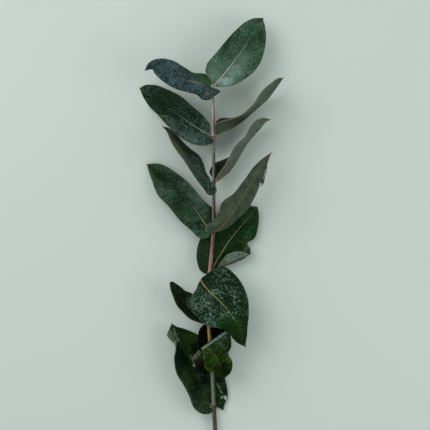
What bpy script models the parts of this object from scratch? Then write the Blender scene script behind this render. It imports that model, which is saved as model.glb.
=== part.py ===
"""A cut eucalyptus branch, lying on a surface: one stem and fourteen stalkless leaves.

Sizes are in millimetres up to the last step, where each mesh is made in metres.
The stem runs along Y with its cut end at the low Y end, +Z is up, and the surface is at Z = 0.
"""

import math

import bmesh
import bpy
import numpy as np

MM = 0.001

# Stem: it rests on its cut end and climbs slowly to its thin top, carried by the leaves.
STEM_LOW_Y = -216.0
STEM_TOP_Y = 107.5
STEM_CUT_RADIUS = 1.95
STEM_TOP_RADIUS = 1.25
STEM_CLIMB = 0.085
STEM_REST_HEIGHT = 1.86
STEM_STEP = 4.0
STEM_LEAST_STEP = 1.0
STEM_BEVEL_RESOLUTION = 3
STEM_SIDE_BENDS = [
    (-216.0, 2.0), (-183.0, 1.3), (-160.0, 0.1), (-136.0, -0.9), (-107.0, -3.0), (-93.0, -3.9),
    (-47.0, -3.1), (-30.0, -1.4), (-14.0, 0.0), (8.0, 0.2), (55.0, 0.1), (98.0, -0.6), (107.5, -0.8),
]
KNOT_HEIGHTS = [108.5, 66.5, 28.3, -14.4, -50.0, -91.5, -119.5, -163.0]
KNOT_SWELLING = 0.35
KNOT_LENGTH = 2.2

# Leaves: one blade thickness, and the room kept between a blade and the stem that it clasps.
BLADE_THICKNESS = 0.65
STEM_CLEARANCE = 0.32
ROWS_ALONG = 18
COLUMNS_ACROSS_HALF = 3
BASE_CROWDING = 1.3
HALF_BLADE = BLADE_THICKNESS / 2.0
STANDING_EDGE = 0.08
SAME_PLACE = 0.01

UPPER_GREEN = (0.045, 0.085, 0.060, 1.0)
BLUE_GREEN = (0.060, 0.085, 0.090, 1.0)
STEM_BROWN = (0.230, 0.190, 0.165, 1.0)
LEAF_ROUGHNESS = 0.55
STEM_ROUGHNESS = 0.60

# Each leaf is given by three lines from its base to its tip, seen with its upper side up:
# the rib, the left edge and the right edge. The edges start and end at the ends of the rib.
# A half that folds over has a fourth line, halfway between its rib and its edge.
# "arch" is how far the left and the right half bulge towards the upper side,
# and "wave" is the height and the count of the waves along both edges.
# "lowest" is for a leaf that stands on an edge: the least height of the blade's middle there.
LEAVES = {
    "leaf_1_right": {
        "rib": [(-0.2, 108.0, 29.9), (8.4, 118.2, 29.5), (17.6, 130.0, 26.0), (26.8, 143.6, 22.0),
                (34.0, 156.4, 18.5), (41.6, 167.4, 16.0)],
        "left": [(-3.4, 114.2, 32.5), (-6.8, 120.2, 33.0), (-5.5, 126.8, 33.5), (0.6, 134.4, 33.0),
                 (9.8, 146.0, 30.5), (18.8, 156.0, 26.5), (27.4, 163.7, 22.0), (34.8, 167.0, 18.5)],
        "right": [(6.5, 107.6, 32.0), (17.4, 109.3, 31.5), (27.6, 115.2, 30.0), (35.0, 121.6, 28.0),
                  (40.5, 130.8, 25.5), (43.5, 141.0, 22.5), (44.5, 152.0, 20.0), (43.6, 161.0, 17.5)],
        "arch": (1.5, 1.5),
        "wave": (0.4, 3.0),
    },
    "leaf_2_left": {
        "rib": [(-2.3, 106.9, 30.8), (-11.4, 110.4, 33.5), (-24.8, 113.3, 37.5), (-34.0, 116.2, 39.5),
                (-43.3, 119.8, 40.5), (-51.2, 122.2, 40.0), (-57.2, 121.4, 38.0)],
        "left": [(1.0, 106.2, 33.2), (5.8, 103.7, 33.8), (1.5, 100.0, 34.0), (-4.5, 96.4, 34.5),
                 (-8.9, 96.8, 35.0), (-13.3, 100.2, 36.5), (-21.7, 102.3, 39.5), (-33.9, 106.4, 43.0),
                 (-45.1, 113.7, 43.5), (-49.6, 119.0, 42.0), (-50.6, 121.4, 41.4),
                 (-52.0, 122.0, 40.8), (-55.0, 121.4, 39.2)],
        "right": [(-1.6, 110.8, 29.2), (-1.9, 113.6, 28.8), (-4.0, 117.4, 29.4), (-7.3, 118.9, 30.5),
                  (-11.9, 119.3, 32.5), (-15.9, 119.3, 35.0), (-24.8, 124.0, 40.0),
                  (-33.9, 129.0, 43.0), (-43.8, 130.8, 44.0), (-50.2, 129.5, 43.0),
                  (-54.9, 126.5, 40.5)],
        "arch": (1.2, 1.2),
        "wave": (0.5, 3.0),
    },
    "leaf_3_left": {
        "rib": [(-2.0, 66.6, 26.5), (-10.1, 71.5, 25.0), (-19.4, 77.4, 21.0), (-29.5, 84.8, 16.0),
                (-40.0, 92.0, 10.0), (-49.0, 98.2, 4.0), (-54.0, 102.0, -1.0), (-63.4, 108.9, -1.5)],
        "left": [(0.2, 61.5, 29.2), (-4.7, 58.6, 29.5), (-11.0, 58.3, 29.0), (-20.3, 60.9, 27.5),
                 (-29.5, 66.6, 24.5), (-38.7, 75.3, 18.5), (-48.0, 86.0, 10.0), (-54.5, 92.6, 2.0),
                 (-60.5, 101.5, -1.5)],
        "right": [(-2.4, 71.0, 27.5), (-3.0, 76.5, 28.5), (-6.4, 81.2, 28.5), (-15.7, 90.4, 27.0),
                  (-25.1, 98.6, 23.5), (-34.1, 104.3, 18.5), (-44.0, 109.2, 10.5), (-52.0, 111.6, 2.0),
                  (-59.0, 111.4, -1.5)],
        "arch": (1.5, 1.5),
        "wave": (0.4, 3.0),
    },
    "leaf_4_right": {
        "rib": [(2.0, 66.6, 26.9), (12.0, 71.4, 25.5), (25.8, 80.6, 23.5), (35.0, 88.6, 24.0),
                (45.1, 97.2, 27.0), (53.0, 107.5, 31.0), (58.3, 114.9, 34.0)],
        "left": [(2.2, 71.0, 22.0), (1.8, 78.0, 17.0), (5.5, 82.0, 12.0), (12.0, 82.9, 7.0),
                 (20.0, 83.6, 2.0), (27.0, 86.5, -1.0), (35.0, 92.0, -0.5), (44.0, 101.0, 7.0),
                 (52.0, 109.0, 20.0)],
        "right": [(1.0, 71.0, 31.0), (0.4, 74.8, 35.0), (4.7, 77.9, 38.5), (12.0, 79.8, 41.0),
                  (24.9, 83.9, 42.5), (31.0, 90.0, 43.0), (40.5, 103.5, 43.0), (48.0, 110.0, 41.0),
                  (55.2, 115.0, 37.0)],
        "arch": (1.5, 1.5),
        "wave": (0.5, 2.5),
        "lowest": STANDING_EDGE,
    },
    "leaf_5_left": {
        "rib": [(-1.9, 27.1, 23.4), (-8.0, 31.5, 23.0), (-13.9, 37.4, 22.0), (-19.4, 44.3, 20.5),
                (-24.9, 51.7, 18.5), (-31.5, 62.0, 15.0), (-38.0, 70.5, 12.0), (-43.0, 74.9, 10.0)],
        "left": [(1.2, 25.2, 28.0), (2.8, 21.2, 29.5), (0.5, 16.6, 31.0), (-4.0, 16.6, 33.0),
                 (-8.3, 22.2, 35.0), (-15.7, 32.3, 37.0), (-24.9, 45.2, 36.0), (-31.0, 54.0, 32.0),
                 (-36.5, 64.0, 25.0), (-40.6, 72.0, 16.0)],
        "right": [(-3.0, 30.5, 20.0), (-6.2, 36.0, 16.0), (-8.3, 43.4, 12.5), (-12.0, 49.8, 9.5),
                  (-19.4, 56.3, 6.5), (-26.8, 63.8, 4.5), (-34.0, 70.6, 4.5), (-39.5, 74.6, 7.0)],
        "arch": (1.0, 1.0),
        "wave": (0.5, 2.5),
    },
    "leaf_6_right": {
        "rib": [(2.3, 28.4, 23.4), (12.0, 35.6, 24.0), (17.4, 42.2, 23.0), (22.1, 50.4, 22.5),
                (32.3, 65.2, 23.0), (39.5, 73.1, 25.0), (44.4, 78.9, 27.0), (47.7, 80.4, 28.0)],
        "left": [(2.4, 30.5, 19.0), (-1.5, 32.6, 15.5), (-3.2, 35.5, 13.0), (-2.3, 39.6, 11.0),
                 (1.2, 44.3, 9.0), (7.4, 47.3, 6.5), (13.5, 50.0, 4.5), (22.0, 58.0, 3.5),
                 (31.0, 68.0, 7.0), (39.0, 76.0, 14.0), (44.5, 79.8, 22.0)],
        "right": [(3.2, 33.0, 31.0), (7.2, 38.8, 36.0), (12.9, 47.9, 39.5), (18.3, 57.2, 40.5),
                  (25.8, 65.5, 41.0), (31.4, 74.8, 39.0), (36.9, 79.9, 35.5), (42.4, 81.8, 31.0)],
        "arch": (1.5, 1.5),
        "wave": (0.6, 2.5),
    },
    "leaf_7_left": {
        "rib": [(-2.0, -13.9, 18.2), (-6.5, -8.5, 17.0), (-12.0, -0.7, 15.0), (-19.4, 9.4, 12.5),
                (-24.9, 15.9, 10.5), (-31.4, 21.9, 8.5), (-40.0, 29.5, 6.0), (-49.0, 36.5, 3.8),
                (-57.0, 43.4, 2.6)],
        "left": [(-3.4, -17.8, 17.5), (-7.4, -20.1, 18.0), (-12.0, -19.4, 19.0), (-19.4, -12.7, 20.0),
                 (-29.5, -3.7, 19.5), (-39.6, 8.8, 16.0), (-47.4, 17.0, 12.0), (-53.2, 31.0, 6.5),
                 (-56.0, 39.5, 3.4)],
        "right": [(-1.5, -10.5, 15.0), (1.6, -6.0, 13.8), (2.2, 0.0, 13.5), (-0.5, 5.5, 14.0),
                  (-6.5, 10.8, 15.0), (-15.7, 21.2, 15.5), (-24.9, 30.9, 14.0), (-34.1, 37.8, 11.5),
                  (-43.4, 42.9, 8.0), (-51.0, 44.2, 4.8)],
        "arch": (1.5, 1.5),
        "wave": (0.5, 3.0),
    },
    "leaf_8_right": {
        "rib": [(0.8, -14.2, 21.1), (7.4, -9.0, 26.0), (13.9, -1.6, 31.0), (21.2, 9.4, 36.0),
                (30.4, 24.2, 40.5), (38.5, 38.0, 42.5), (44.5, 47.0, 43.5), (47.8, 51.4, 43.5)],
        "left": [(4.5, -13.9, 22.5), (12.0, -10.8, 23.0), (21.2, -2.5, 25.0), (30.4, 7.4, 28.0),
                 (37.6, 21.0, 32.0), (38.9, 24.6, 33.0), (41.2, 26.8, 34.0), (41.9, 32.0, 36.0),
                 (43.6, 38.8, 39.0), (45.4, 44.5, 41.5)],
        "right": [(-2.5, -15.2, 22.6), (-7.0, -13.4, 23.4), (-6.5, -9.9, 24.0), (0.0, -4.2, 25.0),
                  (4.7, 3.0, 26.5), (6.4, 9.3, 28.0), (17.4, 18.4, 31.0), (25.8, 28.6, 34.0),
                  (33.2, 39.7, 37.5), (41.0, 47.0, 41.5)],
        "arch": (-1.2, -1.2),
        "wave": (0.5, 2.5),
    },
    "leaf_9_rear": {
        "rib": [(-2.4, -48.8, 13.9), (2.0, -40.0, 12.4), (6.4, -33.0, 11.2), (12.0, -24.0, 9.8),
                (19.4, -14.4, 8.4), (30.4, -1.6, 6.8), (37.8, 7.0, 5.8)],
        "left": [(-6.0, -50.2, 13.2), (-11.0, -47.6, 12.0), (-13.9, -40.3, 10.5), (-14.3, -30.2, 9.5),
                 (-12.0, -21.8, 9.0), (-6.0, -10.0, 9.0), (4.0, 0.0, 8.5), (16.0, 7.0, 7.5),
                 (28.5, 8.2, 6.4)],
        "right": [(2.0, -46.0, 13.6), (7.0, -39.0, 14.6), (12.0, -33.4, 15.6), (19.1, -31.1, 16.0),
                  (26.0, -31.6, 14.0), (31.2, -33.6, 10.5), (31.4, -29.0, 8.5), (29.0, -24.6, 7.8),
                  (35.0, -20.1, 7.4), (37.8, -11.7, 6.8), (38.9, -0.7, 6.2)],
        "right_middle": [(-0.5, -48.0, 12.8), (5.0, -45.5, 10.5), (11.0, -43.0, 9.2), (18.5, -40.2, 8.6),
                         (25.0, -36.6, 8.4), (27.0, -31.0, 8.2), (26.0, -24.0, 8.0), (28.5, -16.5, 7.6),
                         (32.0, -8.0, 6.9), (35.5, 0.5, 6.3)],
        "arch": (1.0, 0.0),
        "wave": (0.4, 3.0),
    },
    "leaf_10_front": {
        "rib": [(-4.5, -50.7, 17.8), (-8.1, -52.3, 22.0), (-10.3, -54.6, 26.5), (-8.6, -58.2, 30.0),
                (-3.1, -64.3, 33.0), (4.0, -71.0, 35.0), (12.0, -80.0, 35.5), (19.1, -89.2, 34.5),
                (23.0, -98.0, 32.0), (25.5, -106.0, 29.0), (26.9, -110.9, 27.0)],
        "left": [(-1.8, -49.0, 20.0), (4.4, -43.9, 23.6), (6.4, -42.4, 24.6), (8.6, -43.0, 25.6),
                 (13.9, -46.2, 28.0), (21.2, -53.6, 30.5), (25.8, -61.0, 32.0), (29.1, -71.0, 33.0),
                 (29.7, -81.2, 33.0), (28.7, -95.0, 31.0), (28.1, -102.3, 29.0), (27.2, -107.4, 28.0)],
        "right": [(-7.5, -54.0, 18.2), (-12.0, -60.5, 18.5), (-19.0, -69.0, 22.0), (-23.0, -72.8, 26.0),
                  (-20.7, -78.3, 29.0), (-12.9, -86.4, 31.5), (-6.5, -92.3, 32.0), (3.7, -95.0, 32.0),
                  (12.0, -98.3, 31.0), (15.6, -103.3, 30.0), (21.2, -108.4, 28.5)],
        "arch": (1.0, 1.6),
        "wave": (0.5, 3.5),
    },
    "leaf_11_left": {
        "rib": [(-6.3, -92.0, 12.2), (-13.5, -86.0, 13.0), (-21.1, -79.3, 13.5), (-27.3, -73.8, 14.0),
                (-31.4, -68.8, 15.0), (-35.0, -62.5, 17.0), (-37.3, -57.5, 19.0)],
        "left": [(-9.5, -92.2, 15.0), (-14.3, -90.8, 18.5), (-20.1, -87.6, 21.5), (-26.9, -81.5, 23.5),
                 (-32.5, -72.8, 24.0), (-35.9, -65.0, 22.5)],
        "right": [(-7.5, -86.0, 9.5), (-9.0, -78.0, 8.5), (-13.0, -71.0, 9.0), (-19.5, -66.2, 10.0),
                  (-24.5, -64.4, 11.5), (-27.5, -61.6, 12.5), (-31.4, -58.5, 14.5), (-35.5, -56.4, 17.0)],
        "arch": (1.0, 1.0),
        "wave": (0.5, 3.0),
    },
    "leaf_12_rear": {
        "rib": [(-2.6, -119.5, 7.9), (1.5, -109.0, 6.8), (6.0, -98.0, 6.2), (10.5, -86.0, 6.0),
                (14.0, -74.0, 6.5), (17.0, -62.5, 8.0)],
        "left": [(-6.5, -121.0, 7.2), (-11.5, -118.5, 6.8), (-13.6, -110.0, 6.5), (-13.3, -104.0, 6.3),
                 (-12.1, -98.0, 6.0), (-7.0, -92.4, 5.8), (0.0, -83.5, 5.6), (7.0, -73.0, 6.0),
                 (13.0, -65.0, 7.0)],
        "right": [(1.5, -121.5, 7.0), (7.0, -118.0, 6.3), (10.8, -110.5, 5.8), (11.4, -101.0, 5.5),
                  (16.5, -92.0, 5.3), (20.5, -82.0, 5.5), (21.5, -72.0, 6.2)],
        "arch": (0.6, 0.6),
        "wave": (0.3, 3.0),
    },
    "leaf_13_left": {
        "rib": [(-2.4, -162.0, 7.4), (-6.0, -157.3, 5.6), (-9.0, -151.9, 4.8), (-15.1, -140.6, 4.4),
                (-19.5, -128.3, 4.8), (-25.5, -118.0, 6.5), (-30.0, -110.5, 9.0), (-32.0, -104.5, 12.0),
                (-34.0, -97.5, 15.0), (-35.5, -92.1, 16.5)],
        "left": [(-2.4, -164.4, 9.6), (0.4, -165.4, 10.2), (-2.1, -168.8, 10.6), (-9.5, -169.6, 11.5),
                 (-16.0, -164.9, 14.0), (-20.3, -154.4, 17.0), (-25.9, -144.1, 19.5), (-31.2, -134.1, 21.0),
                 (-33.3, -122.3, 21.0), (-32.8, -111.3, 19.5), (-36.6, -106.0, 19.0), (-39.5, -102.3, 19.0),
                 (-37.6, -97.0, 18.0)],
        "right": [(-3.2, -163.4, 5.2), (-1.5, -164.2, 3.6), (3.0, -164.6, 3.2), (6.6, -166.0, 3.2),
                  (8.2, -167.2, 3.2), (9.2, -163.6, 3.1), (12.2, -155.4, 3.0), (11.2, -146.0, 2.8),
                  (9.5, -139.0, 2.6), (6.0, -128.0, 2.4), (0.0, -116.0, 2.2), (-7.0, -107.0, 2.2),
                  (-14.5, -102.0, 2.8), (-20.0, -99.2, 4.5), (-26.0, -96.8, 8.0), (-32.0, -94.6, 13.0)],
        "arch": (1.5, 0.0),
        "wave": (0.3, 3.0),
    },
    "leaf_14_front": {
        "rib": [(-3.2, -119.3, 12.0), (-6.2, -115.5, 17.0), (-8.0, -111.8, 22.0), (-6.9, -110.2, 26.0),
                (-4.2, -112.8, 28.5), (0.1, -117.1, 30.0), (3.6, -121.2, 31.0), (5.7, -126.6, 31.0),
                (7.6, -132.0, 30.0), (9.6, -137.5, 28.0)],
        "left": [(-1.5, -115.5, 15.5), (2.5, -107.5, 19.5), (8.0, -100.2, 23.0), (11.4, -97.2, 25.0),
                 (12.9, -99.2, 26.0), (14.8, -104.0, 27.5), (14.9, -110.8, 28.0), (12.8, -117.3, 29.0),
                 (15.4, -122.6, 29.0), (15.9, -128.7, 28.5), (14.4, -133.0, 28.0), (11.8, -135.2, 28.0)],
        "right": [(-8.0, -122.0, 13.0), (-13.5, -124.4, 15.0), (-18.0, -123.8, 17.0),
                  (-18.9, -123.1, 17.5), (-17.6, -124.6, 18.0), (-12.4, -127.2, 19.0),
                  (-9.6, -126.0, 21.0), (-8.2, -123.8, 22.5), (-7.8, -126.4, 24.4),
                  (-7.4, -129.3, 26.0), (-2.9, -132.3, 27.5), (1.8, -134.4, 28.5), (6.0, -136.2, 28.3)],
        "arch": (1.0, 1.0),
        "wave": (0.0, 0.0),
    },
}


def curve_through(points, steps):
    """Points on a smooth curve through the given points, one for each step from 0 to 1."""
    knots = np.array(points, dtype=float)
    spans = np.linalg.norm(np.diff(knots, axis=0), axis=1)
    marks = np.concatenate([[0.0], np.cumsum(spans)]) / spans.sum()
    slopes = np.gradient(knots, marks, axis=0)
    curve = []
    for step in steps:
        index = int(np.clip(np.searchsorted(marks, step, side="right") - 1, 0, len(marks) - 2))
        width = marks[index + 1] - marks[index]
        part = (step - marks[index]) / width
        rise = part * part * (3.0 - 2.0 * part)
        start_pull = part * (1.0 - part) ** 2 * width
        end_pull = part * part * (part - 1.0) * width
        point = knots[index] * (1.0 - rise) + knots[index + 1] * rise
        point = point + slopes[index] * start_pull + slopes[index + 1] * end_pull
        curve.append(point)
    return np.array(curve)


def stem_radius(y):
    """The stem's radius at a place along it, swollen at each knot."""
    share = (y - STEM_LOW_Y) / (STEM_TOP_Y - STEM_LOW_Y)
    radius = STEM_CUT_RADIUS + (STEM_TOP_RADIUS - STEM_CUT_RADIUS) * share
    for knot in KNOT_HEIGHTS:
        radius += KNOT_SWELLING * math.exp(-(((y - knot) / KNOT_LENGTH) ** 2))
    return radius


def stem_center(y):
    """The middle of the stem at a place along it."""
    heights = [bend[0] for bend in STEM_SIDE_BENDS]
    offsets = [bend[1] for bend in STEM_SIDE_BENDS]
    x = float(np.interp(y, heights, offsets))
    z = STEM_REST_HEIGHT + STEM_CLIMB * (y - STEM_LOW_Y)
    return np.array([x, y, z])


def clear_of_stem(point):
    """Move a blade point out of the stem, to where the blade lies close around it."""
    if point[1] > STEM_TOP_Y or point[1] < STEM_LOW_Y:
        return point
    center = stem_center(point[1])
    away = point - center
    away[1] = 0.0
    distance = float(np.linalg.norm(away))
    needed = stem_radius(point[1]) + STEM_CLEARANCE + HALF_BLADE
    if distance >= needed or distance == 0.0:
        return point
    return point + away / distance * (needed - distance)


def half_blade_point(rib, edge, middle, heading, side, share, along, leaf):
    """A point of one half of a blade, at a share of the way from the rib to the edge."""
    if middle is not None:
        near = (1.0 - share) * (1.0 - 2.0 * share)
        centre = 4.0 * share * (1.0 - share)
        far = share * (2.0 * share - 1.0)
        return rib * near + middle * centre + edge * far
    across = edge - rib
    normal = np.cross(heading, across) if side < 0 else np.cross(across, heading)
    length = float(np.linalg.norm(normal))
    normal = normal / length if length > 0.0 else normal
    body = math.sin(math.pi * along)
    arch = leaf["arch"][0 if side < 0 else 1] * 4.0 * share * (1.0 - share) * math.sqrt(max(body, 0.0))
    height, count = leaf["wave"]
    wave = height * share * share * body * math.sin(2.0 * math.pi * count * along + side)
    return rib + across * share + normal * (arch + wave)


def add_material(piece, color, roughness):
    """Give a piece its own plain material."""
    material = bpy.data.materials.new(piece.name)
    material.use_nodes = True
    shader = material.node_tree.nodes["Principled BSDF"]
    shader.inputs["Base Color"].default_value = color
    shader.inputs["Roughness"].default_value = roughness
    shader.inputs["Metallic"].default_value = 0.0
    piece.data.materials.append(material)


def leaf_lines(leaf, steps):
    """The rib and the edges of a leaf, and the middle line of a half that folds over."""
    lines = {"rib": curve_through(leaf["rib"], steps)}
    for name in ("left", "right", "left_middle", "right_middle"):
        if name in leaf:
            ends = [leaf["rib"][0]] + leaf[name] + [leaf["rib"][-1]]
            lines[name] = curve_through(ends, steps)
    return lines


def bend_onto_lines(grid, leaf):
    """Bend a flat square grid onto the lines of a leaf, its rows from the base to the tip."""
    places = sorted({round((vertex.co.y + 1.0) / 2.0, 6) for vertex in grid.verts})
    steps = [place ** BASE_CROWDING for place in places]
    lines = leaf_lines(leaf, steps)
    headings = np.gradient(lines["rib"], axis=0)
    for vertex in grid.verts:
        row = places.index(round((vertex.co.y + 1.0) / 2.0, 6))
        share = abs(vertex.co.x)
        side = -1 if vertex.co.x < 0.0 else 1
        half = "left" if side < 0 else "right"
        middle = lines[half + "_middle"][row] if half + "_middle" in lines else None
        point = half_blade_point(lines["rib"][row], lines[half][row], middle, headings[row], side,
                                 share, steps[row], leaf)
        point = clear_of_stem(point)
        point[2] = max(point[2], leaf.get("lowest", HALF_BLADE))
        vertex.co = point * MM


def make_leaf(name, leaf, collection):
    """A leaf: a bent grid, cut in triangles and given the thickness of the blade."""
    grid = bmesh.new()
    bmesh.ops.create_grid(grid, x_segments=2 * COLUMNS_ACROSS_HALF, y_segments=ROWS_ALONG, size=1.0)
    bend_onto_lines(grid, leaf)
    bmesh.ops.remove_doubles(grid, verts=grid.verts, dist=SAME_PLACE * MM)
    mesh = bpy.data.meshes.new(name)
    grid.to_mesh(mesh)
    grid.free()
    mesh.shade_smooth()
    blade = bpy.data.objects.new(name, mesh)
    collection.objects.link(blade)
    triangles = blade.modifiers.new("Triangles", "TRIANGULATE")
    triangles.quad_method = "SHORTEST_DIAGONAL"
    thickness = blade.modifiers.new("Thickness", "SOLIDIFY")
    thickness.thickness = BLADE_THICKNESS * MM
    thickness.offset = 0.0
    add_material(blade, BLUE_GREEN if name == "leaf_2_left" else UPPER_GREEN, LEAF_ROUGHNESS)
    return blade


def make_stem(collection):
    """The stem: a tube that thins towards its top, swells at the knots and ends in a plain cut."""
    count = int(round((STEM_TOP_Y - STEM_LOW_Y) / STEM_STEP))
    places = list(np.linspace(STEM_LOW_Y, STEM_TOP_Y, count + 1))
    for knot in KNOT_HEIGHTS:
        places += [knot - KNOT_LENGTH, knot, knot + KNOT_LENGTH]
    places = sorted(place for place in places if STEM_LOW_Y <= place <= STEM_TOP_Y)
    spaced = [places[0]]
    for place in places[1:]:
        if place - spaced[-1] > STEM_LEAST_STEP:
            spaced.append(place)
    curve = bpy.data.curves.new("stem", "CURVE")
    curve.dimensions = "3D"
    curve.bevel_depth = MM
    curve.bevel_resolution = STEM_BEVEL_RESOLUTION
    curve.use_fill_caps = True
    spline = curve.splines.new("POLY")
    spline.points.add(len(spaced) - 1)
    for point, y in zip(spline.points, spaced):
        x, y, z = stem_center(y) * MM
        point.co = (x, y, z, 1.0)
        point.radius = stem_radius(y / MM)
    stem = bpy.data.objects.new("stem", curve)
    collection.objects.link(stem)
    add_material(stem, STEM_BROWN, STEM_ROUGHNESS)
    return stem


def stand_on_origin(pieces):
    """Move the whole branch so that the middle of its box, seen from above, is the origin."""
    bpy.context.view_layer.update()
    graph = bpy.context.evaluated_depsgraph_get()
    corners = []
    for piece in pieces:
        shaped = piece.evaluated_get(graph)
        mesh = shaped.to_mesh()
        corners += [shaped.matrix_world @ vertex.co for vertex in mesh.vertices]
        shaped.to_mesh_clear()
    corners = np.array([tuple(corner) for corner in corners])
    low = corners.min(axis=0)
    high = corners.max(axis=0)
    shift = (-(low[0] + high[0]) / 2.0, -(low[1] + high[1]) / 2.0, -low[2])
    for piece in pieces:
        piece.location = shift
    bpy.context.view_layer.update()


def main():
    """Clear the scene and make the branch."""
    for old in list(bpy.data.objects):
        bpy.data.objects.remove(old, do_unlink=True)
    branch = bpy.data.collections.new("eucalyptus_branch")
    bpy.context.scene.collection.children.link(branch)
    pieces = [make_stem(branch)]
    for name, leaf in LEAVES.items():
        pieces.append(make_leaf(name, leaf, branch))
    stand_on_origin(pieces)


main()
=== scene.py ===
"""A cut eucalyptus branch with its leaves, lying on a pale floor and seen from straight above."""

import math
from functools import partialmethod

import bpy
import numpy as np
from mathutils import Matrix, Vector, noise


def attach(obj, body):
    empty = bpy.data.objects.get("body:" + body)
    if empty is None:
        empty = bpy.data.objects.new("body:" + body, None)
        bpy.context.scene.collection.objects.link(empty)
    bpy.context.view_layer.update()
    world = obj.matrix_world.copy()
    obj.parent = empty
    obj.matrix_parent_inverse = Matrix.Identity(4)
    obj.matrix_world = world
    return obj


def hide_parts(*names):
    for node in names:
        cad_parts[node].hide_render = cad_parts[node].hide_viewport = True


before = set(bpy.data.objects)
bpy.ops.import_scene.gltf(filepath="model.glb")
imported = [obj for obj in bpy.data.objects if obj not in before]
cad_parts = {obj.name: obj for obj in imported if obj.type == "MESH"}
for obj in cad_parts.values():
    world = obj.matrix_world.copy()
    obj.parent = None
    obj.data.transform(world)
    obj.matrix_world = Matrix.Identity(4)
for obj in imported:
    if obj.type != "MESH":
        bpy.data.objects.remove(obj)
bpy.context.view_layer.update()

# The camera looks straight down on the branch from 1.6 m above the floor. Its lens and its
# place show the branch upright, with the cut end of the stem past the picture's lower side.
camera_data = bpy.data.cameras.new("camera")
camera_data.sensor_width = 36.0
camera_data.lens = 156.1
camera = bpy.data.objects.new("camera", camera_data)
camera.location = (0.00373, 0.02435, 1.6)
scene = bpy.context.scene
scene.collection.objects.link(camera)
scene.camera = camera

# The stem: a young woody shoot, thin at its top, swollen where each pair of leaves has grown,
# and cut off plainly at its lower end. Its bark is smooth, pink-brown to olive, with a pale
# waxy bloom. It rests on the cut end and rises slowly towards its top. Sizes are in millimetres.
MM = 0.001
PLACE = np.array([2.454, 24.350, 0.0])
STEM_LOW_Y = -216.0
STEM_TOP_Y = 107.5
STEM_CUT_RADIUS = 1.95
STEM_TOP_RADIUS = 1.25
STEM_CLIMB = 0.085
STEM_REST_HEIGHT = 1.95
STEM_CAP = 1.2
CUT_BEVEL = 0.2
STEM_BENDS_Y = [-216, -183, -160, -136, -107, -93, -47, -30, -14, 8, 55, 98, 107.5]
STEM_BENDS_X = [2, 1.3, 0.1, -0.9, -3, -3.9, -3.1, -1.4, 0, 0.2, 0.1, -0.6, -0.8]
KNOTS = [108.5, 66.5, 28.3, -14.4, -50.0, -91.5, -119.5, -163.0]
KNOT_SWELLING = 0.42
KNOT_LENGTH = 1.9
GROOVE_DROP = 0.4
GROOVE_DEPTH = 0.16
GROOVE_LENGTH = 0.45
SCAR_Y = -163.8
SCAR_ANGLE = 0.8
SCAR_DEPTH = 0.5
SCAR_SIZE = (1.2, 0.6)
SCAR_RIM_SIZE = (1.9, 0.85)
STEM_RINGS = 480
STEM_SIDES = 40
END_RINGS = 8
# The left side's colours along the stem, painted lighter there as if lit from the upper left.
STEM_LIT_SIDE_SHADES = [
    (-216, 70, 80, 72), (-190, 68, 72, 50), (-174, 84, 90, 50), (-166, 84, 74, 52), (-162, 104, 114, 104),
    (-140, 108, 122, 112), (-133, 150, 132, 96), (-116, 150, 122, 56), (-100, 172, 142, 64),
    (-88, 130, 94, 64), (-50, 184, 136, 126), (-38, 164, 112, 102), (-16, 104, 74, 72), (8, 114, 96, 88),
    (28, 110, 92, 84), (46, 116, 98, 92), (64, 158, 140, 132), (107.5, 176, 162, 152),
]
# The right side's colours along the stem: partly the bark's own redder brown, partly painted shade.
STEM_RED_AND_SHADED_SIDE_SHADES = [
    (-216, 34, 38, 36), (-190, 24, 17, 12), (-174, 60, 20, 3), (-166, 28, 10, 3), (-160, 66, 54, 48),
    (-136, 34, 22, 16), (-116, 28, 15, 6), (-88, 44, 24, 18), (-50, 108, 58, 52), (-30, 72, 38, 36),
    (-12, 44, 26, 24), (28, 44, 26, 24), (64, 106, 80, 74), (107.5, 140, 116, 108),
]


def as_light(shade):
    """A colour as it is read off a screen, from 0 to 255, made a colour of a surface."""
    parts = [part / 255.0 for part in shade]
    return (*[part / 12.92 if part <= 0.04045 else ((part + 0.055) / 1.055) ** 2.4 for part in parts], 1.0)


def hill(distance, size):
    """One at no distance, falling smoothly to nothing beyond about twice the size."""
    return np.exp(-((distance / size) ** 2))


def stem_radius(y):
    """The stem's radius at a place along it, swollen at each knot."""
    share = (y - STEM_LOW_Y) / (STEM_TOP_Y - STEM_LOW_Y)
    radius = STEM_CUT_RADIUS + (STEM_TOP_RADIUS - STEM_CUT_RADIUS) * share
    for knot in KNOTS:
        radius = radius + KNOT_SWELLING * hill(y - knot, KNOT_LENGTH)
    return radius


def stem_center(y):
    """The middle of the stem at each place along it."""
    z = STEM_REST_HEIGHT + STEM_CLIMB * (np.asarray(y) - STEM_LOW_Y)
    return np.stack([np.interp(y, STEM_BENDS_Y, STEM_BENDS_X), y, z], axis=-1)


def add_ball(rings, sides):
    """Add a ball, and read the ring and the side that each of its points is on."""
    bpy.ops.object.select_all(action="DESELECT")
    bpy.ops.mesh.primitive_uv_sphere_add(segments=sides, ring_count=rings, calc_uvs=False)
    ball = bpy.context.active_object
    points = np.empty(len(ball.data.vertices) * 3)
    ball.data.vertices.foreach_get("co", points)
    points = points.reshape(-1, 3)
    ring = np.rint(np.arccos(np.clip(points[:, 2], -1.0, 1.0)) / math.pi * rings).astype(int)
    turn = np.arctan2(points[:, 1], points[:, 0]) / math.tau
    side = np.rint(turn * sides).astype(int) % sides
    return ball, ring, side


def finish_shape(piece, name, points):
    """Give a ball its new points, none below the floor, turn its faces outwards and smooth it."""
    points[:, 2] = np.maximum(points[:, 2], 0.0)
    piece.name = name
    piece.data.name = name
    piece.data.vertices.foreach_set("co", ((points + PLACE) * MM).ravel())
    piece.data.update()
    bpy.ops.object.mode_set(mode="EDIT")
    bpy.ops.mesh.select_all(action="SELECT")
    bpy.ops.mesh.normals_make_consistent(inside=False)
    bpy.ops.object.mode_set(mode="OBJECT")
    bpy.ops.object.shade_smooth()


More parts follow.
